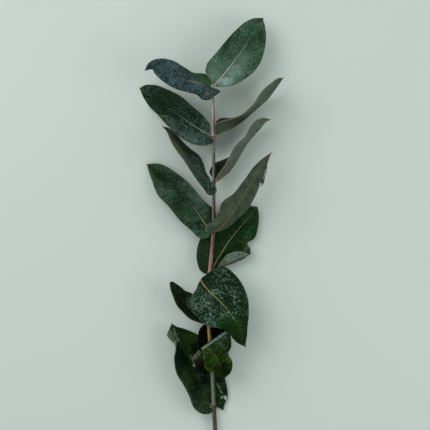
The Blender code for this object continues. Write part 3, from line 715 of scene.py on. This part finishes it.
# Leaf 4, at the right of the second knot: it stands on its lower edge, seen along its blade,
# so that mostly its grey-green under side and its yellow margin show.
grow_leaf(
    "leaf_4_right",
    rib=[(2, 66.6, 26.9), (12, 71.4, 25.5), (25.8, 80.6, 23.5), (35, 88.6, 24), (45.1, 97.2, 27),
        (53, 107.5, 31), (58.3, 114.9, 34)],
    left=[(2.2, 71, 22), (1.8, 78, 17), (5.5, 82, 12), (12, 82.9, 7), (20, 83.6, 2), (27, 86.5, -1),
        (35, 92, -0.5), (44, 101, 7), (52, 109, 20)],
    right=[(1, 71, 31), (0.4, 74.8, 35), (4.7, 77.9, 38.5), (12, 79.8, 41), (24.9, 83.9, 42.5),
        (31, 90, 43), (40.5, 103.5, 43), (48, 110, 41), (55.2, 115, 37)],
    arch=(1.5, 1.5), wave=(0.5, 2.5), lowest=0.08, stalk=(160, 132, 92),
    point=((1.1, 0.7, 0.4), (140, 56, 44)), seed=34, deep=(14, 32, 18), fresh=(20, 40, 22),
    bloom=(76, 96, 90), frost=0.2, under=(58, 74, 60), under_fresh=(74, 88, 70), under_bloom=(108, 118, 106),
    margin=(150, 142, 92), margin_red=(140, 122, 82), rib_base=(140, 128, 82), margin_share=0.85,
)

# Leaf 5, at the left of the third knot: narrow as it is seen, folded a little along its rib.
grow_leaf(
    "leaf_5_left",
    rib=[(-1.9, 27.1, 23.4), (-8, 31.5, 23), (-13.9, 37.4, 22), (-19.4, 44.3, 20.5), (-24.9, 51.7, 18.5),
        (-31.5, 62, 15), (-38, 70.5, 12), (-43, 74.9, 10)],
    left=[(1.2, 25.2, 28), (2.8, 21.2, 29.5), (0.5, 16.6, 31), (-4, 16.6, 33), (-8.3, 22.2, 35),
        (-15.7, 32.3, 37), (-24.9, 45.2, 36), (-31, 54, 32), (-36.5, 64, 25), (-40.6, 72, 16)],
    right=[(-3, 30.5, 20), (-6.2, 36, 16), (-8.3, 43.4, 12.5), (-12, 49.8, 9.5), (-19.4, 56.3, 6.5),
        (-26.8, 63.8, 4.5), (-34, 70.6, 4.5), (-39.5, 74.6, 7)],
    arch=(1, 1), wave=(0.5, 2.5), stalk=(150, 118, 90), point=((-0.8, 1, -0.4), (132, 60, 44)), seed=45,
    deep=(10, 32, 14), fresh=(16, 40, 18), bloom=(86, 106, 102), frost=0.22, rib_base=(160, 126, 112),
    rib_tip=(88, 100, 76), rib_width=0.5, rib_end=0.1, margin_red=(130, 84, 44),
    frosted=[(-12, 30, 9, 0.2), (-22, 42, 9, 0.16)],
    # The pale band on the near half is a painted highlight, and the dark band on the far half is painted
    # shade.
    streaks=[((-38.5, 69), (-22, 41), 6.5, 0.6, 88, 98, 74), ((-33, 69), (-17, 53), 7, 0.7, 12, 28, 8)],
)

# Leaf 6, at the right of the third knot: standing on its edge like leaf 4, its under side up
# and the near-black inside of its base behind the stem.
grow_leaf(
    "leaf_6_right",
    rib=[(2.3, 28.4, 23.4), (12, 35.6, 24), (17.4, 42.2, 23), (22.1, 50.4, 22.5), (32.3, 65.2, 23),
        (39.5, 73.1, 25), (44.4, 78.9, 27), (47.7, 80.4, 28)],
    left=[(2.4, 30.5, 19), (-1.5, 32.6, 15.5), (-3.2, 35.5, 13), (-2.3, 39.6, 11), (1.2, 44.3, 9),
        (7.4, 47.3, 6.5), (13.5, 50, 4.5), (22, 58, 3.5), (31, 68, 7), (39, 76, 14), (44.5, 79.8, 22)],
    right=[(3.2, 33, 31), (7.2, 38.8, 36), (12.9, 47.9, 39.5), (18.3, 57.2, 40.5), (25.8, 65.5, 41),
        (31.4, 74.8, 39), (36.9, 79.9, 35.5), (42.4, 81.8, 31)],
    arch=(1.5, 1.5), wave=(0.6, 2.5), stalk=(150, 112, 84), point=((1.2, -0.3, 0.2), (140, 64, 48)), seed=56,
    deep=(6, 18, 9), fresh=(10, 26, 12), bloom=(40, 56, 48), frost=0.02, under=(66, 82, 70),
    under_fresh=(82, 96, 80), under_bloom=(120, 130, 120), margin=(152, 144, 96), margin_red=(142, 124, 84),
    rib_base=(140, 110, 74), margin_share=0.85,
)

# Leaf 7, at the left of the fourth knot: broad and flat, greener below its beige rib and at its
# base than above it.
grow_leaf(
    "leaf_7_left",
    rib=[(-2, -13.9, 18.2), (-6.5, -8.5, 17), (-12, -0.7, 15), (-19.4, 9.4, 12.5), (-24.9, 15.9, 10.5),
        (-31.4, 21.9, 8.5), (-40, 29.5, 6), (-49, 36.5, 3.8), (-57, 43.4, 2.6)],
    left=[(-3.4, -17.8, 17.5), (-7.4, -20.1, 18), (-12, -19.4, 19), (-19.4, -12.7, 20), (-29.5, -3.7, 19.5),
        (-39.6, 8.8, 16), (-47.4, 17, 12), (-53.2, 31, 6.5), (-56, 39.5, 3.4)],
    right=[(-1.5, -10.5, 15), (1.6, -6, 13.8), (2.2, 0, 13.5), (-0.5, 5.5, 14), (-6.5, 10.8, 15),
        (-15.7, 21.2, 15.5), (-24.9, 30.9, 14), (-34.1, 37.8, 11.5), (-43.4, 42.9, 8), (-51, 44.2, 4.8)],
    arch=(1.5, 1.5), wave=(0.5, 3), stalk=(164, 136, 96), point=((-0.9, 1, -0.2), (136, 84, 56)), seed=67,
    deep=(10, 34, 10), fresh=(20, 52, 12), bloom=(82, 102, 98), frost=0.15, mottle=2.2, fleck=1.8, soft=0.55,
    base=(56, 90, 14), base_share=0.7, base_reach=0.12, rib_base=(176, 148, 118), rib_tip=(104, 108, 72),
    rib_width=0.55, rib_end=0,
    frosted=[(-10, 12, 11, 0.3), (-22, 26, 9, 0.24), (-40, 18, 9, 0.26), (-14, -6, 8, 0.12),
        (-46, 36, 7, -0.1)],
    spots=[(-12.6, -9.5, 2.6, 1, 0.7, 8, 24, 8)],
)

# Leaf 8, at the right of the fourth knot: it crosses in front of the stem with its grey-green
# under side up. Its rib is orange-brown at the base, its tip is a long red point, and a strip
# of its margin is torn loose near the tip.
grow_leaf(
    "leaf_8_right",
    rib=[(0.8, -14.2, 21.1), (7.4, -9, 26), (13.9, -1.6, 31), (21.2, 9.4, 36), (30.4, 24.2, 40.5),
        (38.5, 38, 42.5), (44.5, 47, 43.5), (47.8, 51.4, 43.5)],
    left=[(4.5, -13.9, 22.5), (12, -10.8, 23), (21.2, -2.5, 25), (30.4, 7.4, 28), (37.6, 21, 32),
        (38.9, 24.6, 33), (41.2, 26.8, 34), (41.9, 32, 36), (43.6, 38.8, 39), (45.4, 44.5, 41.5)],
    right=[(-2.5, -15.2, 22.6), (-7, -13.4, 23.4), (-6.5, -9.9, 24), (0, -4.2, 25), (4.7, 3, 26.5),
        (6.4, 9.3, 28), (17.4, 18.4, 31), (25.8, 28.6, 34), (33.2, 39.7, 37.5), (41, 47, 41.5)],
    arch=(-1.2, -1.2), wave=(0.5, 2.5), stalk=(176, 120, 80),
    point=((1.8, 0.7, -0.6), (120, 36, 26), (0.7, 0.25)), seed=78, deep=(18, 36, 22), fresh=(26, 46, 26),
    bloom=(80, 100, 88), frost=0.2, under=(42, 55, 40), under_fresh=(60, 72, 52), under_bloom=(96, 104, 90),
    under_share=0.32, rib_base=(176, 108, 62), rib_tip=(96, 88, 58), rib_width=0.65, rib_turn=0.3,
    margin=(138, 130, 82), tip=(100, 30, 20), mottle_size=1.1,
    rims=[(-5, -14, 5, 0.4, 134, 122, 66), (40, 38, 9, 0.7, 110, 62, 46)],
    spots=[(39.2, 26, 0.8, 1, 1, 206, 212, 196)],
)
grow_round("leaf_8_right", "_torn_strip",
           [(44.9, 46, 42), (44.4, 39.5, 39.6), (42.9, 31.6, 36.2), (41.5, 26, 34.2), (39.6, 23.6, 33.2)],
           (0.42, 0.34), (86, 66, 48))

# Leaf 9, behind the stem at the fifth knot: broad and green. Its right half folds over towards
# the top, so that a band of its pale under side shows along the fold.
grow_leaf(
    "leaf_9_rear",
    rib=[(-2.4, -48.8, 13.9), (2, -40, 12.4), (6.4, -33, 11.2), (12, -24, 9.8), (19.4, -14.4, 8.4),
        (30.4, -1.6, 6.8), (37.8, 7, 5.8)],
    left=[(-6, -50.2, 13.2), (-11, -47.6, 12), (-13.9, -40.3, 10.5), (-14.3, -30.2, 9.5), (-12, -21.8, 9),
        (-6, -10, 9), (4, 0, 8.5), (16, 7, 7.5), (28.5, 8.2, 6.4)],
    right=[(2, -46, 13.6), (7, -39, 14.6), (12, -33.4, 15.6), (19.1, -31.1, 16), (26, -31.6, 14),
        (31.2, -33.6, 10.5), (31.4, -29, 8.5), (29, -24.6, 7.8), (35, -20.1, 7.4), (37.8, -11.7, 6.8),
        (38.9, -0.7, 6.2)],
    right_middle=[(-0.5, -48, 12.8), (5, -45.5, 10.5), (11, -43, 9.2), (18.5, -40.2, 8.6), (25, -36.6, 8.4),
        (27, -31, 8.2), (26, -24, 8), (28.5, -16.5, 7.6), (32, -8, 6.9), (35.5, 0.5, 6.3)],
    arch=(1, 0), wave=(0.4, 3), stalk=(160, 112, 96), seed=89, sheen=0.06, deep=(4, 30, 3),
    fresh=(10, 46, 6), bloom=(60, 88, 62), frost=0.05, fleck=1.8, under=(66, 84, 70),
    under_fresh=(92, 108, 96), under_bloom=(148, 162, 152), under_share=0.7, rib_base=(134, 138, 50),
    rib_tip=(150, 132, 100), rib_turn=0.55, rib_width=0.42, margin=(134, 134, 78), rib_share=0.85,
    rib_end=0.55, margin_red=(120, 100, 62), margin_share=0.5, frosted=[(-10, -38, 8, -0.2)],
    spots=[(28.8, -26.2, 1.7, 1, 0.7, 92, 72, 40), (28, -29.6, 2, 1, 0.7, 84, 84, 66)],
    streaks=[((10, -43.4), (30.8, -34.2), 1.5, 0.9, 58, 34, 30), ((4, -42), (12, -35), 3, 0.5, 70, 86, 62)],
)

# Leaf 10, in front of the stem at the fifth knot: the leaf nearest to the eye. Its stalk arches
# up, and the blade droops down over the stem. Its bloom is thick and white and breaks up in
# blots, with bare dark green between them, and small orange dots are scattered over it.
grow_leaf(
    "leaf_10_front",
    rib=[(-4.5, -50.7, 17.8), (-8.1, -52.3, 22), (-10.3, -54.6, 26.5), (-8.6, -58.2, 30), (-3.1, -64.3, 33),
        (4, -71, 35), (12, -80, 35.5), (19.1, -89.2, 34.5), (23, -98, 32), (25.5, -106, 29),
        (26.9, -110.9, 27)],
    left=[(-1.8, -49, 20), (4.4, -43.9, 23.6), (6.4, -42.4, 24.6), (8.6, -43, 25.6), (13.9, -46.2, 28),
        (21.2, -53.6, 30.5), (25.8, -61, 32), (29.1, -71, 33), (29.7, -81.2, 33), (28.7, -95, 31),
        (28.1, -102.3, 29), (27.2, -107.4, 28)],
    right=[(-7.5, -54, 18.2), (-12, -60.5, 18.5), (-19, -69, 22), (-23, -72.8, 26), (-20.7, -78.3, 29),
        (-12.9, -86.4, 31.5), (-6.5, -92.3, 32), (3.7, -95, 32), (12, -98.3, 31), (15.6, -103.3, 30),
        (21.2, -108.4, 28.5)],
    arch=(1, 1.6), wave=(0.5, 3.5), stalk=(204, 148, 124),
    point=((0.3, -0.9, -0.4), (110, 26, 26), (0.8, 0.35)), seed=101, sheen=0.05, deep=(4, 28, 3),
    fresh=(12, 44, 6), bloom=(120, 142, 138), frost=0.09, mottle=2.8, mottle_size=1.6, fleck=1.9, soft=0.48,
    bloom_share=0.85, rib_base=(212, 148, 104), rib_tip=(138, 132, 70), rib_width=0.5, rib_end=0.2,
    vein=(84, 108, 74), margin=(140, 146, 106), tip=(90, 20, 20), tip_start=0.975,
    frosted=[(-15, -72, 11, 0.1), (-2, -84, 10, 0.14), (2, -50, 5, 0.16), (-3, -55, 6, -0.15),
        (29, -74, 7, -0.25), (22, -101, 13, -0.45), (10, -95, 7, -0.3)],
    spots=[(-10.1, -76.5, 0.55, 1, 0.95, 120, 44, 36), (11.4, -49.7, 0.4, 1, 0.6, 150, 108, 50),
        (23.2, -72.4, 0.4, 1, 0.6, 150, 108, 50)],
    rims=[(-2, -48.5, 7, 0.7, 168, 180, 160), (29, -78, 12, 0.6, 24, 60, 10)],
)

# Leaf 11, at the left of the sixth knot: dark and narrow, mostly behind leaf 10, with a pale
# streak along its rib and a reddish edge.
grow_leaf(
    "leaf_11_left",
    rib=[(-6.3, -92, 12.2), (-13.5, -86, 13), (-21.1, -79.3, 13.5), (-27.3, -73.8, 14), (-31.4, -68.8, 15),
        (-35, -62.5, 17), (-37.3, -57.5, 19)],
    left=[(-9.5, -92.2, 15), (-14.3, -90.8, 18.5), (-20.1, -87.6, 21.5), (-26.9, -81.5, 23.5),
        (-32.5, -72.8, 24), (-35.9, -65, 22.5)],
    right=[(-7.5, -86, 9.5), (-9, -78, 8.5), (-13, -71, 9), (-19.5, -66.2, 10), (-24.5, -64.4, 11.5),
        (-27.5, -61.6, 12.5), (-31.4, -58.5, 14.5), (-35.5, -56.4, 17)],
    arch=(1, 1), wave=(0.5, 3), stalk=(130, 104, 76), seed=112, sheen=0.07, deep=(4, 18, 3),
    fresh=(14, 32, 8), bloom=(46, 62, 50), frost=0.1, rib_base=(96, 106, 82), rib_tip=(84, 94, 72),
    rib_width=0.7, margin=(92, 74, 48), margin_red=(104, 54, 40), rib_end=0.6,
)

# Leaf 12, behind the stem at the seventh knot: its colours are painted nearly black green, as painted shade
# of the leaves over it.
grow_leaf(
    "leaf_12_rear",
    rib=[(-2.6, -119.5, 7.9), (1.5, -109, 6.8), (6, -98, 6.2), (10.5, -86, 6), (14, -74, 6.5),
        (17, -62.5, 8)],
    left=[(-6.5, -121, 7.2), (-11.5, -118.5, 6.8), (-13.6, -110, 6.5), (-13.3, -104, 6.3), (-12.1, -98, 6),
        (-7, -92.4, 5.8), (0, -83.5, 5.6), (7, -73, 6), (13, -65, 7)],
    right=[(1.5, -121.5, 7), (7, -118, 6.3), (10.8, -110.5, 5.8), (11.4, -101, 5.5), (16.5, -92, 5.3),
        (20.5, -82, 5.5), (21.5, -72, 6.2)],
    arch=(0.6, 0.6), wave=(0.3, 3), stalk=(120, 92, 64), seed=123, deep=(1, 5, 1), fresh=(3, 10, 2),
    bloom=(10, 20, 10), frost=0, sheen=0.02, rib_base=(60, 58, 34), rib_tip=(40, 48, 24), rib_width=0.45,
    vein=(24, 38, 20), margin=(96, 84, 58), margin_red=(84, 66, 44), margin_share=0.55,
)

# Leaf 13, at the left of the lowest knot: folded along its rib. The near half is a long dark
# strip with a painted soft highlight, and the far half passes behind the stem, yellow-green at
# its top, with painted shadow along the fold and small painted white glints beside it.
grow_leaf(
    "leaf_13_left",
    rib=[(-2.4, -162, 7.4), (-6, -157.3, 5.6), (-9, -151.9, 4.8), (-15.1, -140.6, 4.4),
        (-19.5, -128.3, 4.8), (-25.5, -118, 6.5), (-30, -110.5, 9), (-32, -104.5, 12), (-34, -97.5, 15),
        (-35.5, -92.1, 16.5)],
    left=[(-2.4, -164.4, 9.6), (0.4, -165.4, 10.2), (-2.1, -168.8, 10.6), (-9.5, -169.6, 11.5),
        (-16, -164.9, 14), (-20.3, -154.4, 17), (-25.9, -144.1, 19.5), (-31.2, -134.1, 21),
        (-33.3, -122.3, 21), (-32.8, -111.3, 19.5), (-36.6, -106, 19), (-39.5, -102.3, 19),
        (-37.6, -97, 18)],
    right=[(-3.2, -163.4, 5.2), (-1.5, -164.2, 3.6), (3, -164.6, 3.2), (6.6, -166, 3.2), (8.2, -167.2, 3.2),
        (9.2, -163.6, 3.1), (12.2, -155.4, 3), (11.2, -146, 2.8), (9.5, -139, 2.6), (6, -128, 2.4),
        (0, -116, 2.2), (-7, -107, 2.2), (-14.5, -102, 2.8), (-20, -99.2, 4.5), (-26, -96.8, 8),
        (-32, -94.6, 13)],
    arch=(1.5, 0), wave=(0.3, 3), stalk=(170, 128, 104), point=((-0.4, 0.9, 0.4), (120, 126, 96)), seed=134,
    sheen=0.05, deep=(3, 20, 1), fresh=(12, 36, 4), bloom=(62, 82, 68), frost=0.02, rib_base=(226, 142, 140),
    rib_tip=(14, 24, 8), rib_turn=0.2, rib_width=0.7, rib_end=0,
    frosted=[(-8, -166, 6, 0.4), (-36, -103, 6, 1), (0, -144, 7, 0.1)],
    spots=[(-16, -106, 9, 1, 0.6, 36, 64, 4), (6, -158, 8, 1, 0.5, 20, 52, 6),
        (-36.6, -103.6, 4.2, 1, 0.75, 84, 102, 82), (-33.6, -110, 1.8, 0.7, 0.9, 150, 160, 146),
        # The white dot at (-9.9, -136.6) is a painted glint.
        (-30.6, -106.5, 1.6, 1, 0.6, 130, 140, 120), (-9.9, -136.6, 0.6, 1, 1, 176, 190, 176),
        (8.6, -155.6, 1.6, 1.4, 0.8, 124, 144, 128), (10.2, -156.6, 0.9, 0.6, 1, 190, 204, 196),
        (6.8, -156.6, 0.8, 1, 0.8, 120, 140, 122)],
    # Painted light: the near-black band along the fold is painted shadow; the pale lines and white dots by
    # the fold and the grey-green band on the near half are painted highlights.
    streaks=[((-16, -112), (-8, -142), 7, 0.85, 1, 8, 0),
        ((-20, -119.6), (-15.6, -130.2), 1.1, 0.7, 92, 112, 84),
        ((-17.3, -128.2), (-16.4, -129.6), 0.8, 0.9, 180, 194, 176),
        ((3.2, -144.4), (5.6, -149), 1.3, 0.7, 110, 134, 112),
        ((5.8, -150.6), (7.2, -152.4), 0.8, 0.8, 150, 170, 150),
        ((-28, -140), (-17, -160), 4, 0.35, 58, 76, 62),
        ((-33.6, -96), (-31.6, -105), 0.9, 0.7, 120, 128, 104),
        ((9.8, -152), (11.6, -144), 2, 0.7, 4, 14, 2)],
    rims=[(-4, -161, 6, 0.6, 128, 84, 66), (-18, -168, 12, 0.5, 52, 82, 38)],
)

# Leaf 14, in front of the stem at the seventh knot: a small crumpled leaf that droops over the
# stem. Its skin is blistered, and its left lobe turns its brown under side out.
grow_leaf(
    "leaf_14_front",
    rib=[(-3.2, -119.3, 12), (-6.2, -115.5, 17), (-8, -111.8, 22), (-6.9, -110.2, 26), (-4.2, -112.8, 28.5),
        (0.1, -117.1, 30), (3.6, -121.2, 31), (5.7, -126.6, 31), (7.6, -132, 30), (9.6, -137.5, 28)],
    left=[(-1.5, -115.5, 15.5), (2.5, -107.5, 19.5), (8, -100.2, 23), (11.4, -97.2, 25), (12.9, -99.2, 26),
        (14.8, -104, 27.5), (14.9, -110.8, 28), (12.8, -117.3, 29), (15.4, -122.6, 29),
        (15.9, -128.7, 28.5), (14.4, -133, 28), (11.8, -135.2, 28)],
    right=[(-8, -122, 13), (-13.5, -124.4, 15), (-18, -123.8, 17), (-18.9, -123.1, 17.5),
        (-17.6, -124.6, 18), (-12.4, -127.2, 19), (-9.6, -126, 21), (-8.2, -123.8, 22.5),
        (-7.8, -126.4, 24.4), (-7.4, -129.3, 26), (-2.9, -132.3, 27.5), (1.8, -134.4, 28.5),
        (6, -136.2, 28.3)],
    arch=(1, 1), wave=(0, 0), ripple=(1, 3.6), stalk=(190, 170, 120), seed=145, sheen=0.03, deep=(2, 16, 1),
    fresh=(13, 36, 2), bloom=(86, 104, 92), frost=0.02, cloud_size=6, mottle=2.8, fleck=2,
    rib_base=(190, 186, 132), rib_tip=(96, 116, 30), rib_width=0.42, rib_end=0.1, margin=(70, 88, 24),
    margin_red=(86, 76, 30), relief=0.5, net_size=3.3, net_share=0.36, net_width=0.18, vein=(56, 86, 8),
    vein_share=0.2,
    frosted=[(-2, -108, 4.5, 0.25), (6, -104, 5.5, 0.45), (12, -102, 4, 0.5), (4, -130, 8, -0.3)],
    spots=[(-1, -123, 4.5, 1, 0.4, 52, 84, 6), (13.8, -119.5, 3.2, 0.6, 0.7, 60, 92, 10),
        (9, -131.5, 5.5, 1, 0.92, 10, 18, 2), (-12, -125.5, 5.5, 0.9, 0.95, 30, 22, 14),
        (12.5, -108, 4, 0.6, 0.6, 6, 26, 4)],
    # The pale line along the top edge, where the blade arches over, is a painted highlight.
    streaks=[((-9.6, -112.9), (10.6, -98.9), 1.5, 0.75, 140, 156, 142),
        ((-8.6, -113.5), (-6.8, -128), 1.5, 0.4, 84, 112, 18),
        ((-12.2, -116.2), (-17.6, -122.6), 3.2, 0.85, 78, 92, 84),
        ((-12.6, -115), (-18.4, -122), 1.2, 0.8, 128, 92, 68),
        ((-6, -129), (-1, -132.6), 2.4, 0.6, 60, 88, 10)],
    rims=[(-16, -124.4, 4.5, 0.6, 96, 72, 56), (11, -134, 6, 0.7, 64, 56, 30)],
)

# The floor is a plain pale table top, and the light is that of a plain studio: one large soft
# lamp at the upper left, a weak one at the right and pale light from all around.
bpy.ops.object.select_all(action="DESELECT")
bpy.ops.mesh.primitive_plane_add(size=4.0)
floor = bpy.context.active_object
floor.name = "floor"
floor_finish = Finish("floor")
floor_finish.shader.inputs["Base Color"].default_value = as_light((204, 214, 208))
floor_finish.shader.inputs["Roughness"].default_value = 0.9
floor.data.materials.append(floor_finish.material)


def add_lamp(name, place, size, power):
    """A square soft lamp that points at the middle of the branch."""
    data = bpy.data.lights.new(name, "AREA")
    data.size = size
    data.energy = power
    lamp = bpy.data.objects.new(name, data)
    lamp.location = place
    lamp.rotation_euler = (-Vector(place)).to_track_quat("-Z", "Y").to_euler()
    scene.collection.objects.link(lamp)


add_lamp("lamp_left", place=(-0.55, 0.45, 0.90), size=0.9, power=6.0)
add_lamp("lamp_right", place=(0.70, -0.10, 0.60), size=0.6, power=1.8)
world = scene.world or bpy.data.worlds.new("world")
scene.world = world
world.use_nodes = True
sky = world.node_tree.nodes["Background"]
sky.inputs["Color"].default_value = as_light((226, 236, 234))
sky.inputs["Strength"].default_value = 0.6
scene.view_settings.view_transform = "Standard"
